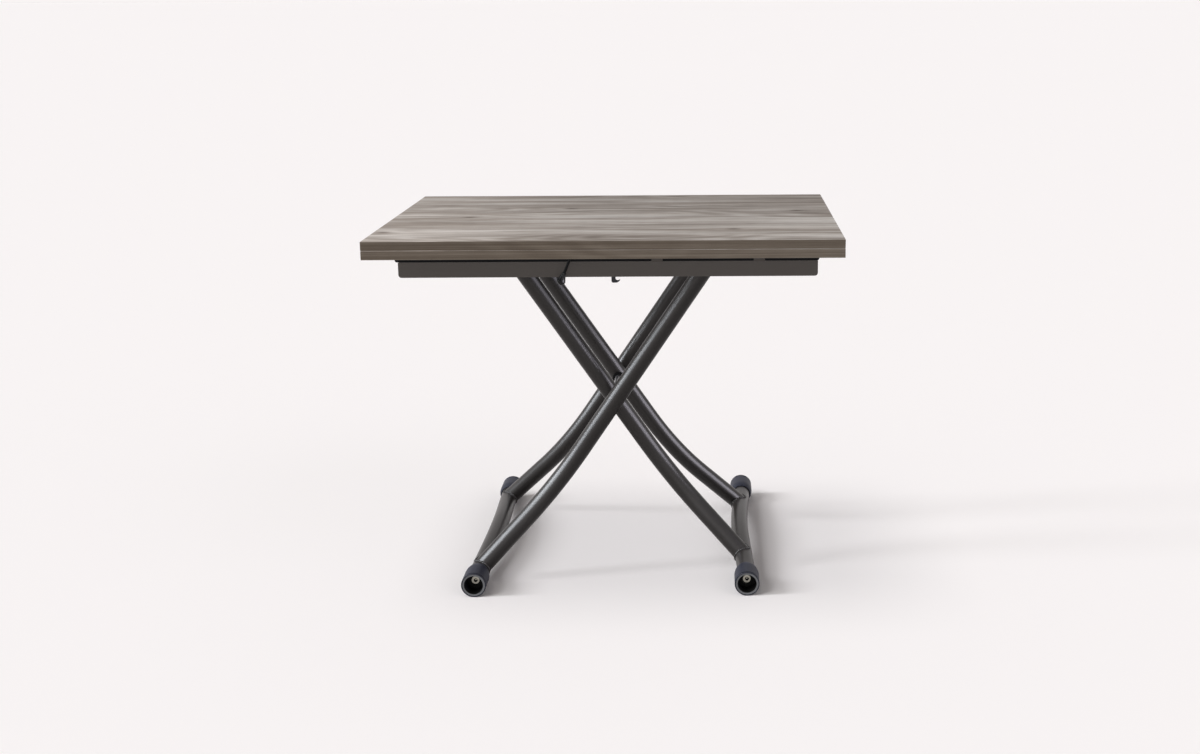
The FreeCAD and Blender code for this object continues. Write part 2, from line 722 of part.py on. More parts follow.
def leaf_hinges(face, into):
    """Hinge plates with their knuckles, and their screws, for the leaf on one side of the seam.

    into is -1 for the lower leaf, which has the outer knuckles, and 1 for the upper one.
    """
    half = hinge_width / 2
    middle = hinge_middle_width / 2
    plate_back = leaf_rear - hinge_plate_reach
    clear = hinge_barrel_radius + hinge_pocket_clearance
    z_low = min(face, face + into * hinge_plate_thickness)
    z_high = z_low + hinge_plate_thickness
    hole = hinge_pin_radius if into < 0 else hinge_pin_radius + running_clearance
    plates = []
    screws = []
    for x in hinge_places():
        body = box(x - half, x + half, plate_back, leaf_rear, z_low, z_high)
        body = body.fuse(rod_x(hinge_barrel_radius, x - half, x + half, leaf_rear, seam_height))
        gap = middle + side_clearance
        if into < 0:
            away = [(x - gap, x + gap)]
        else:
            away = [(x - half - overrun, x - middle), (x + middle, x + half + overrun)]
        for start, end in away:
            body = body.cut(box(start, end, leaf_rear - clear, leaf_rear + clear, seam_height - clear,
                                seam_height + clear))
        body = body.cut(rod_x(hole, x - half - overrun, x + half + overrun, leaf_rear, seam_height))
        for spot_x, spot_y in hinge_screw_spots(x):
            screw = hinge_screw(spot_x, spot_y, face, into)
            screws.append(screw)
            body = body.cut(screw)
        plates.append(body)
    return plates, screws


def leaf_blank(z_low):
    leaf = box(-top_length / 2, top_length / 2, leaf_front, leaf_rear, z_low, z_low + leaf_thickness)
    return leaf.makeFillet(leaf_edge_round, leaf.Edges)


def cut_hinge_pockets(leaf, face, into, screws):
    half = hinge_width / 2
    z_low = min(face - into * overrun, face + into * hinge_plate_thickness)
    z_high = max(face - into * overrun, face + into * hinge_plate_thickness)
    plate_back = leaf_rear - hinge_plate_reach
    for x in hinge_places():
        leaf = leaf.cut(box(x - half, x + half, plate_back, leaf_rear + overrun, z_low, z_high))
        leaf = leaf.cut(rod_x(hinge_barrel_radius + hinge_pocket_clearance, x - half, x + half, leaf_rear,
                              seam_height))
    for screw in screws:
        leaf = leaf.cut(screw)
    return leaf


def leaves():
    lower_plates, lower_screws = leaf_hinges(lower_leaf_top, -1)
    upper_plates, upper_screws = leaf_hinges(upper_leaf_bottom, 1)
    save("lower_hinge_plates", *lower_plates)
    save("lower_hinge_screws", *lower_screws)
    save("upper_hinge_plates", *upper_plates)
    save("upper_hinge_screws", *upper_screws)
    half = hinge_width / 2
    save("hinge_pins", *[rod_x(hinge_pin_radius, x - half, x + half, leaf_rear, seam_height)
                         for x in hinge_places()])

    lower = cut_hinge_pockets(leaf_blank(lower_leaf_bottom), lower_leaf_top, -1, lower_screws)
    bush_hole = rod_z(swivel_bush_radius, swivel_place, swivel_place, lower_leaf_bottom - overrun,
                      lower_leaf_bottom + swivel_bush_depth)
    save("lower_leaf", lower.cut(bush_hole))
    save("upper_leaf", cut_hinge_pockets(leaf_blank(upper_leaf_bottom), upper_leaf_bottom, 1, upper_screws))

    pads = []
    for x_side in LEFT_AND_RIGHT:
        for y in (leaf_front + seam_pad_inset, leaf_rear - seam_pad_inset):
            pads.append(rod_z(seam_pad_radius, x_side * (top_length / 2 - seam_pad_inset), y, lower_leaf_top,
                              upper_leaf_bottom))
    save("seam_pads", *pads)


os.makedirs("parts", exist_ok=True)
legs_and_feet()
pivot_pieces()
slide_shoes("right_slide_shoes", shaft_x)
slide_shoes("left_slide_shoes", -shaft_x)
rails()
bearers()
swivel()
gas_spring()
release_lever()
catch_hook()
leaves()
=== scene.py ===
"""Looks of the height-adjustable scissor table: finishes, weld beads, floor, light and camera."""
import json
import math

import bpy
import numpy as np
from mathutils import Matrix, Vector


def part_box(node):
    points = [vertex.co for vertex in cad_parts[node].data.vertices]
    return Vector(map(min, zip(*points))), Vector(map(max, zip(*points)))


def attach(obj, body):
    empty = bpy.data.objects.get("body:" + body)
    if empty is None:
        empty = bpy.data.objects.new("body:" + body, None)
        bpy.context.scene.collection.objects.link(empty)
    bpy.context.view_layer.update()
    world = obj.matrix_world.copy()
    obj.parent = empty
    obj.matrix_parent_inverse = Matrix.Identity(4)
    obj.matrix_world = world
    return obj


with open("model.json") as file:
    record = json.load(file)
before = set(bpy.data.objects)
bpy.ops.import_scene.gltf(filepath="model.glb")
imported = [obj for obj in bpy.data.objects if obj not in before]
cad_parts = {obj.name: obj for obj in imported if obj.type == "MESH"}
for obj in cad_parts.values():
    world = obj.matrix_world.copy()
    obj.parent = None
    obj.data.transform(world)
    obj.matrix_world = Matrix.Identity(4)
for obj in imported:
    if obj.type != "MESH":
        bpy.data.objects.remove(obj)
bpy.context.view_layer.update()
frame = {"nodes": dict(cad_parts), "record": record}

# Camera, fitted to the photograph
IMAGE_WIDTH = 1200
FOCAL_PIXELS = 1440.6
SENSOR_WIDTH = 36.0
CAMERA_PLACE = (0.222, -3.273, 1.276)
CAMERA_PITCH = math.radians(11.10)
CAMERA_ROLL = math.radians(0.308)
CAMERA_SHIFT = (-0.0924, -0.0797)
FAR_LIMIT = 9000.0

# Floor: its colour as seen and as it throws light back, its near square and
# its far reach in metres
FLOOR_SEEN = (0.988, 0.938, 0.910)
FLOOR_BOUNCE = (0.36, 0.352, 0.348)
FLOOR_NEAR = 20.0
FLOOR_FAR = 5000.0

# World: its colour as seen, its light on the object, how dim mirrors see the
# room behind the camera, from which to which Y of a direction that fades, and
# one soft panel that mirrors see, as (direction, inner and outer half angle in
# degrees, colour)
BACKDROP = (0.939, 0.905, 0.902)
AMBIENT = 0.25
BEHIND_CAMERA = 0.28
FAR_SIDE = (-0.75, 0.15)
FRONT_PANEL = ((-0.10, -0.90, 0.42), 10.0, 52.0, (2.2, 2.16, 2.2))

# Lamps as (direction towards it, strength, spread in degrees, colour, what
# casts its shadows), and lamps that only gloss the stand, its welds and the knob
LAMPS = {
    "overhead": ((-0.20, 0.03, 1.0), 0.50, 24.0, (1.0, 1.0, 1.0), "all"),
    "front_left": ((-0.60, -0.45, 0.66), 1.02, 22.0, (0.97, 0.99, 1.03), "feet"),
    "left_middle": ((-0.84, -0.16, 0.52), 1.30, 14.0, (0.96, 0.99, 1.04), "feet"),
    "left_low": ((-0.921, -0.105, 0.375), 0.75, 9.0, (0.96, 0.99, 1.04), "stand"),
    "right_fill": ((0.66, -0.45, 0.60), 0.25, 40.0, (1.0, 0.96, 1.06), "feet"),
}
SHEENS = {
    "left_sheen": ((-0.76, -0.32, 0.56), 12.5, 48.0, (0.95, 1.0, 1.07), "all"),
    "right_sheen": ((0.93, -0.29, 0.24), 6.0, 40.0, (1.0, 0.96, 1.08), "stand"),
}

# Pieces that stand on the floor, those with the legs, and what the sheens gloss
FEET = ("left_foot_bar", "right_foot_bar", "left_foot_cap_front", "left_foot_cap_rear",
        "right_foot_cap_front", "right_foot_cap_rear")
STAND = FEET + ("outer_leg_front", "outer_leg_rear", "inner_leg_front", "inner_leg_rear")
GLOSSED = STAND + ("left_welds", "right_welds", "lever_knob")

# Colours, linear
WOOD_DARK = (0.190, 0.164, 0.143)
WOOD_MIDDLE = (0.318, 0.287, 0.260)
WOOD_LIGHT = (0.500, 0.470, 0.440)
WOOD_PORE = (0.085, 0.070, 0.060)
WOOD_KNOT = (0.080, 0.062, 0.050)
WARM_TINT = (1.06, 0.97, 0.88)
EDGE_TONE = (0.645, 0.585, 0.51)
LEG_PAINT = (0.030, 0.0264, 0.0243)
RAIL_PAINT = (0.110, 0.097, 0.087)
BLACK_PAINT = (0.005, 0.005, 0.0055)
CAP_PLASTIC = (0.024, 0.026, 0.040)
# Painted highlight: the pale ring round the caps' mouths
CAP_LIP_HIGHLIGHT = (0.23, 0.23, 0.235)
# Painted shade: near black for the caps' groove and cup
CAP_PAINTED_SHADE = (0.0025, 0.0024, 0.0022)
PLUG_PLASTIC = (0.016, 0.016, 0.017)
KNOB_PLASTIC = (0.004, 0.004, 0.0045)
CLIP_PLASTIC = (0.052, 0.042, 0.035)
NYLON = (0.68, 0.67, 0.63)
FELT = (0.035, 0.035, 0.037)
ZINC = (0.42, 0.42, 0.43)
HOOK_STEEL = (0.016, 0.016, 0.019)
SCREW_HEAD = (0.40, 0.385, 0.33)
# Painted shade: the dark ring of the screws' sockets
SCREW_SOCKET_SHADE = (0.012, 0.012, 0.012)
CHROME = (0.62, 0.62, 0.64)

# Noises of the wood figure, as (waves per metre along and across the grain,
# start, detail, roughness)
GRAIN = {
    "sway": ((1.3, 3.6, 0.0), (0.0, 0.0, 0.0), 2.0, 0.5),
    "swirl": ((5.0, 16.0, 0.0), (3.1, 1.7, 0.0), 2.0, 0.5),
    "streaks": ((1.9, 20.0, 0.0), (0.4, 0.9, 0.2), 4.0, 0.55),
    "threads": ((1.7, 150.0, 0.0), (5.6, 0.2, 0.0), 4.0, 0.65),
    "patches": ((1.3, 5.0, 0.0), (4.7, 2.9, 0.0), 2.0, 0.5),
    "veins": ((1.0, 38.0, 0.0), (8.1, 0.3, 0.0), 2.0, 0.5),
    "rings": ((1.6, 6.0, 0.0), (2.2, 5.3, 0.0), 1.0, 0.5),
    "clusters": ((1.9, 5.2, 0.0), (9.4, 3.3, 0.0), 1.0, 0.5),
    "pores": ((24.0, 620.0, 0.0), (0.0, 0.0, 0.0), 2.0, 0.4),
    "warmth": ((1.6, 24.0, 0.0), (7.0, 2.0, 0.0), 2.0, 0.5),
}
NOISE_MIDDLE = 0.5

# How far the grain wanders, in metres, how the figure's parts add up, and
# where its noises begin and end
SWAY_REACH = 0.060
SWIRL_REACH = 0.012
STREAK_SHARE = 0.46
PATCH_SHARE = 0.18
THREAD_SHARE = 0.36
VEIN_SHARE = -0.035
RING_SHARE = 0.035
VEIN_WIDTH = 0.045
RING_TURNS = 80.0
CLUSTER_RANGE = (0.46, 0.62)
TONE_RANGE = (0.33, 0.66)
PORE_RANGE = (0.34, 0.46)

# Knots of the top's figure: places and size along and across the grain, in
# metres, how fast their pull on the grain dies away, how strong it is, and how
# dark their hearts are
KNOTS = ((-0.479, -0.231), (-0.328, -0.015), (-0.108, 0.114), (0.272, -0.204), (0.423, 0.065))
KNOT_SIZE = (0.016, 0.0085)
KNOT_FALL = 0.10
KNOT_BEND = 0.75
KNOT_DARKNESS = 0.75

# Laminate: from which tilt a surface is a face or an end, the edge bands'
# figure and their tone below and above the seam between the folded leaves,
# and how strongly warmth and pores show
FACE_TILT = (0.3, 0.7)
EDGE_FINENESS = 15.0
EDGE_SWAY = 0.05
EDGE_CONTRAST = 0.6
EDGE_LIFT = (0.37, 0.23)
SEAM_HEIGHT = (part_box("lower_leaf")[1].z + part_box("upper_leaf")[0].z) / 2
SEAM_SOFTNESS = 0.0005
WARM_SHARE = 0.5
PORE_DARKNESS = 0.25
PORE_DEPTH = 0.0004
PORE_BUMP = 0.3
WOOD_ROUGHNESS = (0.62, 0.52)

# Painted light and shade on the leaves' faces: how much lighter or darker their colour is made,
# from front to back and from the left end to the middle, and between which places, in metres
PAINTED_LIGHT_DEEP = (1.15, 0.90)
PAINTED_LIGHT_LONG = (1.36, 1.0)
PAINTED_LIGHT_DEEP_RANGE = (-0.34, 0.34)
PAINTED_LIGHT_LONG_RANGE = (-0.5, 0.0)

# Skins: clouds along a metre, their noise's detail and that of the specks, both
# shares of the tone, how the tone changes the roughness, and the grain's strength
CLOUDS = 9.0
CLOUD_DETAIL = 3.0
SPECK_DETAIL = 2.0
CLOUD_SHARE = 0.7
SPECK_SHARE = 0.3
SKIN_TONE_RANGE = (0.2, 0.8)
ROUGHNESS_SHARES = (0.9, 1.1)
SKIN_BUMP = 0.5

# End caps and axle screws, in metres: the bars' end axes, the caps' mouths, and where the rings of
# painted highlight and painted shade begin and end
LEFT_CAP_LOW, LEFT_CAP_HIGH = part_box("left_foot_cap_front")
RIGHT_CAP_LOW, RIGHT_CAP_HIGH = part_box("right_foot_cap_front")
LEFT_BAR_X = -(LEFT_CAP_LOW.x + LEFT_CAP_HIGH.x) / 2
RIGHT_BAR_X = (RIGHT_CAP_LOW.x + RIGHT_CAP_HIGH.x) / 2
BAR_HEIGHT = LEFT_CAP_HIGH.z / 2
MOUTH_DEPTH = -LEFT_CAP_LOW.y
CUP_RADIUS = 0.0211
LIP_RADIUS = 0.0247
LIP_FLOOR = 0.0012
GROOVE = (0.0028, 0.0062)
GROOVE_FLOOR = 0.0262
SOCKET_RADIUS = 0.0044
SOCKET_CORE = 0.0016
PAINT_SOFTNESS = 0.0002

# Foot bars and leg ends, in metres: the bars' bow, a point on each leg's
# straight tail, the tail's direction, and how far along it the bar is met
TUBE_RADIUS = 0.020
BAR_HALF_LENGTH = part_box("left_foot_bar")[1].y
BAR_BOW_IN = 0.010
BAR_BOW_UP = 0.012
TAIL_HEIGHT = 0.12953
TAIL_REACH = 0.19621
OUTER_TAIL_DEPTH = 0.18668
INNER_TAIL_DEPTH = 0.12818
TAIL_RUN = (0.67289, -0.29721, -0.67741)
TAIL_SEARCH = (0.04, 0.17)
SEARCH_STEPS = 4000
TOUCH_GAP = 0.0002

# Weld beads: sizes in metres, counts, and (body, side, bar, tail depth) of each
BEAD_RADIUS = 0.0022
BEAD_RIPPLE = 0.00035
BEAD_LIFT = 0.0006
BEAD_SWELLS = 34
BEAD_STEPS = 272
BEAD_SECTION = 12
WELDS = {
    "left_welds": ("outer_legs", -1, LEFT_BAR_X, OUTER_TAIL_DEPTH),
    "right_welds": ("inner_legs", 1, RIGHT_BAR_X, INNER_TAIL_DEPTH),
}


class Net:
    """Adds nodes to one node tree and links them."""

    def __init__(self, tree):
        self.tree = tree

    def put(self, kind, settings=None, **values):
        """A new node with its settings, and with its named inputs fed."""
        node = self.tree.nodes.new(kind)
        for name, value in (settings or {}).items():
            setattr(node, name, value)
        for name, value in values.items():
            self.feed(node.inputs[name.replace("_", " ")], value)
        return node

    def feed(self, socket, value):
        """Links an output to the socket, or sets the socket to a plain value."""
        if isinstance(value, bpy.types.NodeSocket):
            self.tree.links.new(value, socket)
        else:
            socket.default_value = value

    def math(self, operation, first, second=None, clamp=False):
        """One or two values through a Math node."""
        node = self.put("ShaderNodeMath", {"operation": operation, "use_clamp": clamp})
        self.feed(node.inputs[0], first)
        if second is not None:
            self.feed(node.inputs[1], second)
        return node.outputs[0]

    def inverse(self, value):
        """One less the value."""
        return self.math("SUBTRACT", 1.0, value)

    def total(self, *terms):
        """Sum of (value, weight) pairs."""
        result = None
        for value, weight in terms:
            term = self.math("MULTIPLY", value, weight)
            result = term if result is None else self.math("ADD", result, term)
        return result

    def vector(self, operation, first, second):
        """Two vectors through a Vector Math node, to a vector or to their dot product."""
        node = self.put("ShaderNodeVectorMath", {"operation": operation})
        self.feed(node.inputs[0], first)
        self.feed(node.inputs[1], second)
        return node.outputs["Value" if operation == "DOT_PRODUCT" else "Vector"]

    def blend(self, factor, first, second):
        """A value from the first, at factor zero, to the second, at one."""
        node = self.put("ShaderNodeMix", {"data_type": "FLOAT"})
        self.feed(node.inputs[0], factor)
        self.feed(node.inputs[2], first)
        self.feed(node.inputs[3], second)
        return node.outputs[0]

    def mix(self, factor, first, second, blend="MIX"):
        """A colour from the first, at factor zero, to the second laid on it, at one."""
        node = self.put("ShaderNodeMix", {"data_type": "RGBA", "blend_type": blend})
        self.feed(node.inputs[0], factor)
        self.feed(node.inputs[6], first)
        self.feed(node.inputs[7], second)
        return node.outputs[2]

    def scaled(self, vector, scale, offset):
        """The vector times the scale, plus the offset."""
        node = self.put("ShaderNodeVectorMath", {"operation": "MULTIPLY_ADD"})
        self.feed(node.inputs[0], vector)
        self.feed(node.inputs[1], scale)
        self.feed(node.inputs[2], offset)
        return node.outputs[0]

    def noise(self, vector, scale, detail, roughness=0.5):
        """Noise between zero and one."""
        node = self.put("ShaderNodeTexNoise", Vector=vector, Scale=scale, Detail=detail,
                        Roughness=roughness)
        return node.outputs["Fac"]

    def ramp(self, value, low, high, to_low=0.0, to_high=1.0):
        """A smooth step, from one result where the value is low to the other where it is high."""
        node = self.put("ShaderNodeMapRange", {"interpolation_type": "SMOOTHSTEP"}, Value=value)
        for socket, setting in zip(node.inputs[1:5], (low, high, to_low, to_high)):
            self.feed(socket, setting)
        return node.outputs[0]


def node_group(name, inputs, outputs):
    """An empty shader node group with named sockets, as (group, net, input node, output node)."""
    group = bpy.data.node_groups.new(name, "ShaderNodeTree")
    for label, kind, default in inputs:
        socket = group.interface.new_socket(label, in_out="INPUT", socket_type=kind)
        if default is not None:
            socket.default_value = default
    for label, kind in outputs:
        group.interface.new_socket(label, in_out="OUTPUT", socket_type=kind)
    net = Net(group)
    return group, net, net.put("NodeGroupInput"), net.put("NodeGroupOutput")


def grain_noise(net, place, name):
    """One of the wood figure's noises at the place."""
    scale, start, detail, roughness = GRAIN[name]
    return net.noise(net.scaled(place, scale, start), 1.0, detail, roughness)


def make_wood_figure():
    """Wood figure along the first coordinate: broad patches, streaks and fine straight threads, with thin
    dark veins and, in places, rings, which are the sine of a slow noise."""
    group, net, given, result = node_group(
        "wood_figure",
        [("Along Grain", "NodeSocketVector", None), ("Fineness", "NodeSocketFloat", 1.0),
         ("Sway", "NodeSocketFloat", 1.0)],
        [("Tone", "NodeSocketFloat"), ("Pores", "NodeSocketFloat"), ("Warmth", "NodeSocketFloat")])
    place = given.outputs["Along Grain"]
    sway = net.math("SUBTRACT", grain_noise(net, place, "sway"), NOISE_MIDDLE)
    swirl = net.math("SUBTRACT", grain_noise(net, place, "swirl"), NOISE_MIDDLE)
    wander = net.total((sway, SWAY_REACH), (swirl, SWIRL_REACH))
    shift = net.math("MULTIPLY", wander, given.outputs["Sway"])
    grain = net.vector("ADD", place, net.put("ShaderNodeCombineXYZ", Y=shift).outputs[0])
    spread = net.put("ShaderNodeCombineXYZ", X=1.0, Y=given.outputs["Fineness"])
    fine = net.vector("MULTIPLY", grain, spread.outputs[0])
    from_vein = net.math("SUBTRACT", grain_noise(net, fine, "veins"), NOISE_MIDDLE)
    veins = net.ramp(net.math("ABSOLUTE", from_vein), 0.0, VEIN_WIDTH, 1.0, 0.0)
    rings = net.math("SINE", net.math("MULTIPLY", grain_noise(net, grain, "rings"), RING_TURNS))
    cluster = net.ramp(grain_noise(net, place, "clusters"), *CLUSTER_RANGE)
    tone = net.total((grain_noise(net, fine, "streaks"), STREAK_SHARE),
                     (grain_noise(net, grain, "patches"), PATCH_SHARE),
                     (grain_noise(net, fine, "threads"), THREAD_SHARE),
                     (veins, VEIN_SHARE),
                     (net.math("MULTIPLY", rings, cluster), RING_SHARE))
    net.feed(result.inputs["Tone"], net.ramp(tone, *TONE_RANGE))
    net.feed(result.inputs["Pores"], net.ramp(grain_noise(net, fine, "pores"), *PORE_RANGE))
    net.feed(result.inputs["Warmth"], grain_noise(net, grain, "warmth"))
    return group


def make_skin_texture():
    """Fine unevenness of a sprayed, moulded or plated skin: a soft tone change and a small height."""
    group, net, given, result = node_group(
        "skin_texture",
        [("Specks", "NodeSocketFloat", None)],
        [("Tone", "NodeSocketFloat"), ("Height", "NodeSocketFloat")])
    place = net.put("ShaderNodeTexCoord").outputs["Object"]
    speck = net.noise(place, given.outputs["Specks"], SPECK_DETAIL)
    cloud = net.noise(place, CLOUDS, CLOUD_DETAIL)
    net.feed(result.inputs["Tone"], net.total((cloud, CLOUD_SHARE), (speck, SPECK_SHARE)))
    net.feed(result.inputs["Height"], speck)
    return group


WOOD_FIGURE = make_wood_figure()
SKIN_TEXTURE = make_skin_texture()


def new_material(name):
    """An empty material with one shader, as (material, net, shader)."""
    material = bpy.data.materials.new(name)
    material.use_nodes = True
    tree = material.node_tree
    tree.nodes.clear()
    net = Net(tree)
    shader = net.put("ShaderNodeBsdfPrincipled")
    output = net.put("ShaderNodeOutputMaterial")
    net.feed(output.inputs["Surface"], shader.outputs[0])
    return material, net, shader


def set_plain(shader, **values):
    """Sets the shader's own sockets to values that are the same all over."""
    for name, value in values.items():
        shader.inputs[name.replace("_", " ")].default_value = value


def bump(net, shader, height, distance, strength):
    """Turns a height into small dents of the shader's normal."""
    node = net.put("ShaderNodeBump", Strength=strength, Distance=distance, Height=height)
    net.feed(shader.inputs["Normal"], node.outputs[0])


def knot_fields(net, place):
    """Sums over the knots: a narrow bell, which is the dark heart, and a wide bell times the distance
    across the grain, which bends the grain round the heart."""
    heart, swerve = 0.0, 0.0
    for along, across in KNOTS:
        away = net.vector("SUBTRACT", place, (along, across, 0.0))
        near = net.vector("MULTIPLY", away, (1 / KNOT_SIZE[0], 1 / KNOT_SIZE[1], 0.0))
        square = net.vector("DOT_PRODUCT", near, near)
        bell = net.math("EXPONENT", net.math("MULTIPLY", square, -1.0))
        wide = net.math("EXPONENT", net.math("MULTIPLY", square, -KNOT_FALL))
        offset = net.put("ShaderNodeSeparateXYZ", Vector=away).outputs["Y"]
        bend = net.math("MULTIPLY", net.math("MULTIPLY", offset, wide), -KNOT_BEND)
        heart = net.math("ADD", heart, bell)
        swerve = net.math("ADD", swerve, bend)
    return heart, swerve


def wood_laminate():
    """Grey-brown laminate: grain along X on the faces and along each edge, the edge bands a deeper tone,
    and painted light and shade on the faces, lighter towards the front and the left end, darker at the
    back.
    """
    material, net, shader = new_material("wood_laminate")
    place = net.put("ShaderNodeTexCoord").outputs["Object"]
    normal = net.put("ShaderNodeNewGeometry").outputs["Normal"]
    facing = net.put("ShaderNodeSeparateXYZ", Vector=normal)
    parts = net.put("ShaderNodeSeparateXYZ", Vector=place)
    on_face = net.ramp(net.math("ABSOLUTE", facing.outputs["Z"]), *FACE_TILT)
    on_end = net.ramp(net.math("ABSOLUTE", facing.outputs["X"]), *FACE_TILT)

    heart, swerve = knot_fields(net, net.vector("MULTIPLY", place, (1.0, 1.0, 0.0)))
    face_grain = net.put("ShaderNodeCombineXYZ", X=parts.outputs["X"],
                         Y=net.math("ADD", parts.outputs["Y"], swerve))
    edge_grain = net.put("ShaderNodeCombineXYZ", Y=parts.outputs["Z"],
                         X=net.blend(on_end, parts.outputs["X"], parts.outputs["Y"]))
    face = net.put("ShaderNodeGroup", {"node_tree": WOOD_FIGURE}, Along_Grain=face_grain.outputs[0])
    edge = net.put("ShaderNodeGroup", {"node_tree": WOOD_FIGURE}, Along_Grain=edge_grain.outputs[0],
                   Fineness=EDGE_FINENESS, Sway=EDGE_SWAY)
    lift = net.ramp(parts.outputs["Z"], SEAM_HEIGHT - SEAM_SOFTNESS, SEAM_HEIGHT + SEAM_SOFTNESS,
                    *EDGE_LIFT)
    edge_tone = net.math("ADD", net.math("MULTIPLY", edge.outputs["Tone"], EDGE_CONTRAST), lift)
    tone = net.blend(on_face, edge_tone, face.outputs["Tone"])
    pores = net.blend(on_face, edge.outputs["Pores"], face.outputs["Pores"])

    tones = net.put("ShaderNodeValToRGB", Fac=tone)
    ramp = tones.color_ramp
    ramp.elements[0].color = (*WOOD_DARK, 1)
    ramp.elements[1].color = (*WOOD_LIGHT, 1)
    ramp.elements.new(0.5).color = (*WOOD_MIDDLE, 1)
    warmth = net.math("MULTIPLY", face.outputs["Warmth"], WARM_SHARE)
    warm = net.mix(warmth, tones.outputs[0], (*WARM_TINT, 1), "MULTIPLY")
    pored = net.mix(net.ramp(pores, 0.0, 1.0, PORE_DARKNESS, 0.0), warm, (*WOOD_PORE, 1))
    knot = net.math("MULTIPLY", net.math("MULTIPLY", heart, on_face), KNOT_DARKNESS, clamp=True)
    knotted = net.mix(knot, pored, (*WOOD_KNOT, 1))
    edged = net.mix(net.inverse(on_face), knotted, (*EDGE_TONE, 1), "MULTIPLY")
    # Painted light and shade: the faces' colour is made lighter towards the front and the left end and
    # darker towards the back
    painted_light = net.math("MULTIPLY", net.ramp(parts.outputs["Y"], *PAINTED_LIGHT_DEEP_RANGE, *PAINTED_LIGHT_DEEP),
                      net.ramp(parts.outputs["X"], *PAINTED_LIGHT_LONG_RANGE, *PAINTED_LIGHT_LONG))
    painted_light_colour = net.put("ShaderNodeCombineXYZ", X=painted_light, Y=painted_light, Z=painted_light).outputs[0]
    faced_with_painted_light = net.vector("MULTIPLY", knotted, painted_light_colour)
    net.feed(shader.inputs["Base Color"], net.mix(on_face, edged, faced_with_painted_light))
    net.feed(shader.inputs["Roughness"], net.ramp(tone, 0.0, 1.0, *WOOD_ROUGHNESS))
    set_plain(shader, Specular_IOR_Level=0.0)
    bump(net, shader, pores, PORE_DEPTH, PORE_BUMP)
    return material


def skin(name, colour, roughness, specks, height, metallic=0.0, variation=0.12, level=0.5):
    """A sprayed, moulded or plated skin with a soft tone change and a fine grain, of so many specks along a
    metre, as high as given in metres."""
    material, net, shader = new_material(name)
    texture = net.put("ShaderNodeGroup", {"node_tree": SKIN_TEXTURE}, Specks=specks)
    low = tuple(channel * (1 - variation) for channel in colour)
    high = tuple(channel * (1 + variation) for channel in colour)
    net.feed(shader.inputs["Base Color"], net.mix(texture.outputs["Tone"], (*low, 1), (*high, 1)))
    smooth, rough = (roughness * share for share in ROUGHNESS_SHARES)
    net.feed(shader.inputs["Roughness"], net.ramp(texture.outputs["Tone"], *SKIN_TONE_RANGE, smooth, rough))
    set_plain(shader, Metallic=metallic, Specular_IOR_Level=level)
    bump(net, shader, texture.outputs["Height"], height, SKIN_BUMP)
    return material


def past(net, value, edge):
    """One where the value is past the edge, zero before it, with a short slope."""
    return net.ramp(value, edge - PAINT_SOFTNESS, edge + PAINT_SOFTNESS)


def foot_places(net):
    """Distance from the foot bars' end axes, and how far inside the caps' mouths, in metres."""
    place = net.put("ShaderNodeTexCoord").outputs["Object"]
    parts = net.put("ShaderNodeSeparateXYZ", Vector=place)
    aside = net.math("SUBTRACT", net.math("ABSOLUTE", parts.outputs["X"]), (LEFT_BAR_X + RIGHT_BAR_X) / 2)
    above = net.math("SUBTRACT", parts.outputs["Z"], BAR_HEIGHT)
    offset = net.put("ShaderNodeCombineXYZ", X=aside, Y=above).outputs[0]
    radius = net.math("SQRT", net.vector("DOT_PRODUCT", offset, offset))
    return radius, net.math("SUBTRACT", MOUTH_DEPTH, net.math("ABSOLUTE", parts.outputs["Y"]))


def repaint(net, shader, layers):
    """Lays (mask, colour) pairs over the base colour, in turn."""
    colour = shader.inputs["Base Color"].links[0].from_socket
    for mask, paint in layers:
        colour = net.mix(mask, colour, (*paint, 1))
    net.feed(shader.inputs["Base Color"], colour)


def cap_skin():
    """Moulded cap: a paler ring round the mouth, which is a painted highlight, and painted shade that makes
    the groove behind it and the cup near black.
    """
    material = skin("cap_plastic", CAP_PLASTIC, roughness=0.50, specks=1800.0, height=0.00008, level=0.12)
    net = Net(material.node_tree)
    radius, depth = foot_places(net)
    deep = past(net, depth, LIP_FLOOR)
    # Painted highlight: a paler ring round the mouth
    lip_highlight = net.math("MULTIPLY", net.inverse(deep), net.inverse(past(net, radius, LIP_RADIUS)))
    # Painted shade: the groove behind the mouth and the cup inside are made near black
    behind = net.math("MULTIPLY", past(net, depth, GROOVE[0]), net.inverse(past(net, depth, GROOVE[1])))
    groove = net.math("MULTIPLY", behind, net.inverse(past(net, radius, GROOVE_FLOOR)))
    cup = net.math("MULTIPLY", deep, net.inverse(past(net, radius, CUP_RADIUS)))
    repaint(net, net.tree.nodes["Principled BSDF"],
            ((lip_highlight, CAP_LIP_HIGHLIGHT), (groove, CAP_PAINTED_SHADE), (cup, CAP_PAINTED_SHADE)))
    return material


def screw_skin():
    """Plated screw with painted shade in its socket: a dark ring round a core left in the head's colour."""
    material = skin("axle_screw", SCREW_HEAD, roughness=0.42, specks=1600.0, height=0.00003, metallic=1.0)
    net = Net(material.node_tree)
    radius = foot_places(net)[0]
    within = net.inverse(past(net, radius, SOCKET_RADIUS))
    # Painted shade: the socket's ring is made dark
    socket = net.math("MULTIPLY", past(net, radius, SOCKET_CORE), within)
    repaint(net, net.tree.nodes["Principled BSDF"], ((socket, SCREW_SOCKET_SHADE),))
    return material


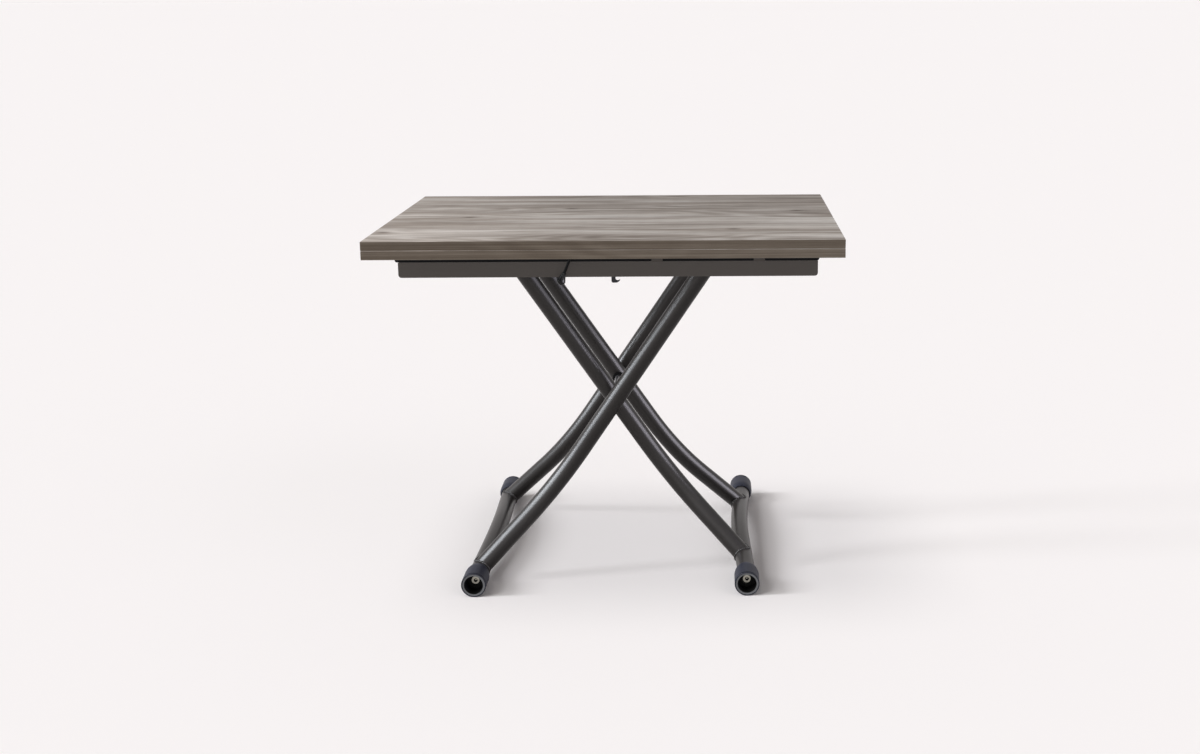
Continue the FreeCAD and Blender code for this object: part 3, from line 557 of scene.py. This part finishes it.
# Plain skins by record slot, then the finish of each slot, and of the nodes that
# differ from their slot
SKINS = {
    "leg_paint": dict(colour=LEG_PAINT, roughness=0.34, specks=1400.0, height=0.00004, level=0.2),
    "rail_paint": dict(colour=RAIL_PAINT, roughness=0.44, specks=1400.0, height=0.00006, level=0.14),
    "black_steel": dict(colour=BLACK_PAINT, roughness=0.42, specks=1200.0, height=0.00006, level=0.1),
    "plug_plastic": dict(colour=PLUG_PLASTIC, roughness=0.5, specks=1500.0, height=0.00008, level=0.4),
    "knob_plastic": dict(colour=KNOB_PLASTIC, roughness=0.25, specks=900.0, height=0.00002, level=0.2),
    "clip_plastic": dict(colour=CLIP_PLASTIC, roughness=0.5, specks=1500.0, height=0.00008, level=0.4),
    "nylon": dict(colour=NYLON, roughness=0.42, specks=900.0, height=0.00005),
    "felt": dict(colour=FELT, roughness=0.95, specks=2600.0, height=0.0004, variation=0.35, level=0.2),
    "bright_steel": dict(colour=ZINC, roughness=0.34, specks=1600.0, height=0.00003, metallic=1.0),
    "polished_steel": dict(colour=CHROME, roughness=0.12, specks=700.0, height=0.00001, metallic=1.0),
}
MATERIALS = {slot: skin(slot, **values) for slot, values in SKINS.items()}
MATERIALS["wood_top"] = wood_laminate()
MATERIALS["cap_plastic"] = cap_skin()
AXLE_SCREW = screw_skin()
OWN_FINISH = {
    "catch_hook": skin("hook_steel", HOOK_STEEL, roughness=0.40, specks=1600.0, height=0.00003, level=0.3),
    "left_axle_screws": AXLE_SCREW,
    "right_axle_screws": AXLE_SCREW,
}


def dress_nodes():
    """Each CAD node gets the material of its record slot, or its own."""
    for part in frame["record"]["subparts"]:
        node = frame["nodes"][part["node"]]
        node.data.materials.clear()
        node.data.materials.append(OWN_FINISH.get(part["node"], MATERIALS[part["material_slot"]]))


def bar_axis(depth, bar_x, side):
    """Middle line of a foot bar at each depth: its bow is the square of one less the square of the depth's
    share of the half length, inwards and upwards."""
    bow = (1 - (depth / BAR_HALF_LENGTH) ** 2) ** 2
    return side * (bar_x - BAR_BOW_IN * bow), BAR_HEIGHT + BAR_BOW_UP * bow


def unit(vectors):
    """The vectors, each at length one."""
    return vectors / np.linalg.norm(vectors, axis=-1, keepdims=True)


def saddle_path(side, bar_x, tail_depth, mirror):
    """Closed curve where a leg's tube meets its foot bar: along each line of the tube's surface, parallel
    to its axis, the first point that lies within the bar's radius of the bar's middle line. Also gives the
    direction out of the corner between the two tubes, which is the sum of both tubes' outward normals."""
    run = np.array(TAIL_RUN) * (side, 1, 1)
    start = np.array([side * TAIL_REACH, -tail_depth, TAIL_HEIGHT])
    first = unit(np.cross(run, (0, 0, 1)))
    second = np.cross(run, first)
    turn = np.linspace(0, 2 * np.pi, BEAD_STEPS, endpoint=False)[:, None]
    outward = np.cos(turn) * first + np.sin(turn) * second
    steps = np.linspace(*TAIL_SEARCH, SEARCH_STEPS)
    lines = start + TUBE_RADIUS * outward[:, None, :] + steps[None, :, None] * run
    axis_x, axis_z = bar_axis(lines[..., 1], bar_x, side)
    gap = np.hypot(lines[..., 0] - axis_x, lines[..., 2] - axis_z) - TUBE_RADIUS
    touches = gap < TOUCH_GAP
    rows = np.arange(BEAD_STEPS)
    met = rows, np.where(touches.any(axis=1), touches.argmax(axis=1), gap.argmin(axis=1))
    path = lines[met]
    from_bar = np.stack([path[:, 0] - axis_x[met], np.zeros(BEAD_STEPS), path[:, 2] - axis_z[met]], axis=1)
    corner = unit(outward + unit(from_bar))
    flip = np.array([1, mirror, 1])
    return path * flip, corner * flip


def bead_surface(path, corner):
    """Weld bead: a small circle carried round the closed path, its radius swelling as a sine along the
    path, with its middle set a little out of the corner."""
    steps = len(path)
    along = unit(np.roll(path, -1, axis=0) - np.roll(path, 1, axis=0))
    up = unit(corner - along * np.sum(corner * along, axis=1, keepdims=True))
    across = np.cross(along, up)
    swell = np.linspace(0, 2 * np.pi * BEAD_SWELLS, steps, endpoint=False)
    radius = BEAD_RADIUS + BEAD_RIPPLE * np.sin(swell)
    turn = np.linspace(0, 2 * np.pi, BEAD_SECTION, endpoint=False)[None, :, None]
    ring = np.cos(turn) * up[:, None, :] + np.sin(turn) * across[:, None, :]
    middle = path + BEAD_LIFT * corner
    points = (middle[:, None, :] + radius[:, None, None] * ring).reshape(-1, 3)
    row, column = np.meshgrid(np.arange(steps), np.arange(BEAD_SECTION), indexing="ij")
    next_row, next_column = (row + 1) % steps, (column + 1) % BEAD_SECTION
    corners = np.stack([row * BEAD_SECTION + column, next_row * BEAD_SECTION + column,
                        next_row * BEAD_SECTION + next_column, row * BEAD_SECTION + next_column], axis=-1)
    return points, corners.reshape(-1, 4)


def add_piece(name, surfaces, slot, body):
    """One smooth mesh object from a list of (points, quads), in its slot's finish, on its body."""
    starts = np.cumsum([0] + [len(points) for points, _ in surfaces[:-1]])
    points = np.concatenate([points for points, _ in surfaces])
    quads = np.concatenate([quads + start for (_, quads), start in zip(surfaces, starts)])
    mesh = bpy.data.meshes.new(name)
    mesh.from_pydata(points.tolist(), [], quads.tolist())
    mesh.polygons.foreach_set("use_smooth", np.ones(len(quads), dtype=bool))
    mesh.materials.append(MATERIALS[slot])
    mesh.update()
    piece = bpy.data.objects.new(name, mesh)
    bpy.context.scene.collection.objects.link(piece)
    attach(piece, body)


def facing_out(points, quads, middle):
    """The quads, all turned about if the first one faces the middle of its own section."""
    first = points[quads[0]]
    normal = np.cross(first[1] - first[0], first[2] - first[0])
    return quads if np.dot(normal, first.mean(axis=0) - middle) > 0 else quads[:, ::-1]


def weld_beads():
    """The beads where the four legs meet the foot bars: two on the outer legs' frame, two on the inner."""
    for name, (body, side, bar_x, depth) in WELDS.items():
        surfaces = []
        for mirror in (1, -1):
            path, corner = saddle_path(side, bar_x, depth, mirror)
            points, quads = bead_surface(path, corner)
            surfaces.append((points, facing_out(points, quads, path[0])))
        add_piece(name, surfaces, "leg_paint", body)


def seen_rays(net):
    """The Light Path node, and a mask of the rays that show the studio: straight, mirrored or refracted."""
    rays = net.put("ShaderNodeLightPath")
    bent = net.math("MAXIMUM", rays.outputs["Is Glossy Ray"], rays.outputs["Is Transmission Ray"])
    return rays, net.math("MAXIMUM", rays.outputs["Is Camera Ray"], bent)


def floor():
    """A pale floor: a near square inside a far frame, which throws back less light than it shows."""
    lines = np.array([-FLOOR_FAR, -FLOOR_NEAR, FLOOR_NEAR, FLOOR_FAR])
    count = len(lines)
    grid_x, grid_y = np.meshgrid(lines, lines)
    points = np.stack([grid_x, grid_y, np.zeros_like(grid_x)], axis=-1).reshape(-1, 3)
    row, column = np.meshgrid(np.arange(count - 1), np.arange(count - 1), indexing="ij")
    low = (row * count + column).ravel()
    quads = np.stack([low, low + 1, low + count + 1, low + count], axis=-1)
    mesh = bpy.data.meshes.new("floor")
    mesh.from_pydata(points.tolist(), [], quads.tolist())
    plane = bpy.data.objects.new("floor", mesh)
    bpy.context.scene.collection.objects.link(plane)
    material, net, shader = new_material("floor")
    seen = seen_rays(net)[1]
    net.feed(shader.inputs["Base Color"], net.mix(seen, (*FLOOR_BOUNCE, 1), (*FLOOR_SEEN, 1)))
    set_plain(shader, Roughness=1.0, Specular_IOR_Level=0.0)
    mesh.materials.append(material)


def studio_world():
    """An even light that is seen as the pale backdrop. Mirrors see the backdrop too, with a dimmer room
    behind the camera and one soft panel there."""
    world = bpy.data.worlds.new("studio")
    bpy.context.scene.world = world
    world.use_nodes = True
    net = Net(world.node_tree)
    rays, seen = seen_rays(net)
    towards = net.put("ShaderNodeTexCoord").outputs["Generated"]
    far_side = net.ramp(net.put("ShaderNodeSeparateXYZ", Vector=towards).outputs["Y"], *FAR_SIDE)
    undimmed = net.math("MAXIMUM", far_side, rays.outputs["Is Camera Ray"])
    dim = tuple(channel * BEHIND_CAMERA for channel in BACKDROP)
    room = net.mix(undimmed, (*dim, 1), (*BACKDROP, 1))
    direction, inner, outer, colour = FRONT_PANEL
    nearness = net.vector("DOT_PRODUCT", towards, tuple(Vector(direction).normalized()))
    inside = net.ramp(nearness, math.cos(math.radians(outer)), math.cos(math.radians(inner)))
    mirrored = net.math("MULTIPLY", inside, rays.outputs["Is Glossy Ray"])
    panelled = net.mix(mirrored, room, (*colour, 1))
    background = world.node_tree.nodes["Background"]
    net.feed(background.inputs["Color"], net.mix(seen, (AMBIENT, AMBIENT, AMBIENT, 1), panelled))


def gather(name, members):
    """A collection of the named objects, for what a lamp lights or what casts its shadows."""
    group = bpy.data.collections.new(name)
    for member in members:
        group.objects.link(frame["nodes"].get(member) or bpy.data.objects[member])
    return group


def sun(name, direction, strength, spread, colour):
    """A distant soft lamp that shines from the direction."""
    light = bpy.data.lights.new(name, "SUN")
    light.energy = strength
    light.angle = math.radians(spread)
    light.color = colour
    lamp = bpy.data.objects.new(name, light)
    lamp.rotation_euler = Vector(direction).to_track_quat("Z", "Y").to_euler()
    bpy.context.scene.collection.objects.link(lamp)
    return lamp


def studio_lamps():
    """The soft lamps, each shadowed by all or by its casters alone, and the sheens, which only gloss."""
    casting = {"feet": gather("feet", FEET), "stand": gather("stand", STAND)}
    glossed = gather("glossed", GLOSSED)
    for name, (direction, strength, spread, colour, casters) in (LAMPS | SHEENS).items():
        lamp = sun(name, direction, strength, spread, colour)
        if casters in casting:
            lamp.light_linking.blocker_collection = casting[casters]
        if name in SHEENS:
            lamp.visible_diffuse = False
            lamp.light_linking.receiver_collection = glossed


def camera():
    """The camera at the photograph's place, with its pitch and roll."""
    data = bpy.data.cameras.new("camera")
    data.sensor_width = SENSOR_WIDTH
    data.lens = FOCAL_PIXELS / IMAGE_WIDTH * SENSOR_WIDTH
    data.shift_x, data.shift_y = CAMERA_SHIFT
    data.clip_end = FAR_LIMIT
    holder = bpy.data.objects.new("camera", data)
    turn = Matrix.Rotation(math.pi / 2 - CAMERA_PITCH, 4, "X") @ Matrix.Rotation(-CAMERA_ROLL, 4, "Z")
    holder.matrix_world = Matrix.Translation(CAMERA_PLACE) @ turn
    bpy.context.scene.collection.objects.link(holder)
    bpy.context.scene.camera = holder


dress_nodes()
weld_beads()
floor()
studio_world()
studio_lamps()
camera()
bpy.context.scene.view_settings.view_transform = "Standard"
